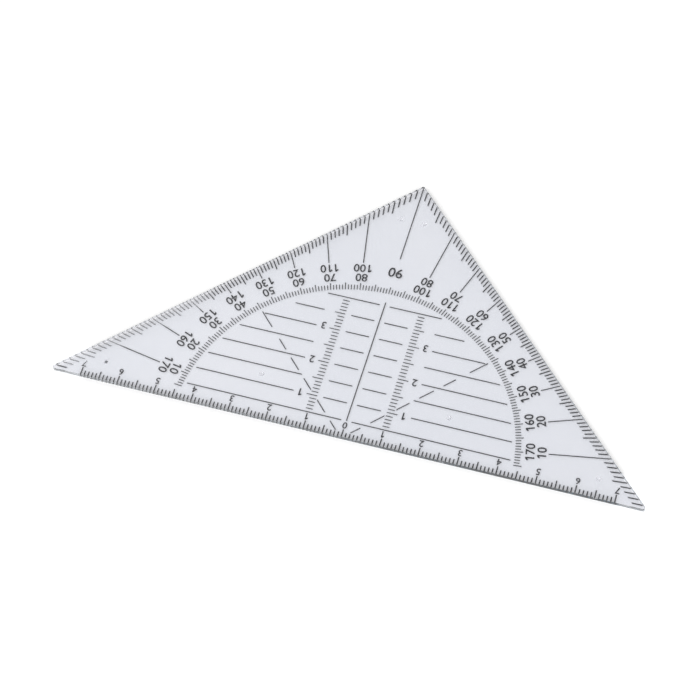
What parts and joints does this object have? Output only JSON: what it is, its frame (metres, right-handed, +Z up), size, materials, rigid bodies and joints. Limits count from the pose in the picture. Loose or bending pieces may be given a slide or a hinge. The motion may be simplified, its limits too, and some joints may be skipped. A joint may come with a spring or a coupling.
{
  "type": "geometry triangle",
  "caption": "Clear right-angled isosceles set square with a protractor, a zero-centred millimetre scale on its long edge, degree scales on its legs and spacer nubs below.",
  "frame": {"origin": "the zero of the scales, in the middle of the ruling edge's face, at half the plate's thickness", "axes": "+X along the ruling edge, +Y from the ruling edge to the right-angled corner, +Z up out of the plate, away from the printed underside"},
  "size_m": [0.155, 0.078, 0.0017],
  "materials": {
    "clear_plastic": "clear moulded, polished, faint cool tint",
    "print_ink": "black screen print"
  },
  "bodies": {
    "root": {"plate": "clear_plastic", "edge_scale": "print_ink", "left_leg_scale": "print_ink", "right_leg_scale": "print_ink", "degree_rays": "print_ink", "protractor_arc": "print_ink", "left_height_scale": "print_ink", "right_height_scale": "print_ink", "left_parallels": "print_ink", "right_parallels": "print_ink", "centre_dashes": "print_ink", "centre_line": "print_ink", "left_diagonal": "print_ink", "right_diagonal": "print_ink"}
  },
  "joints": []
}
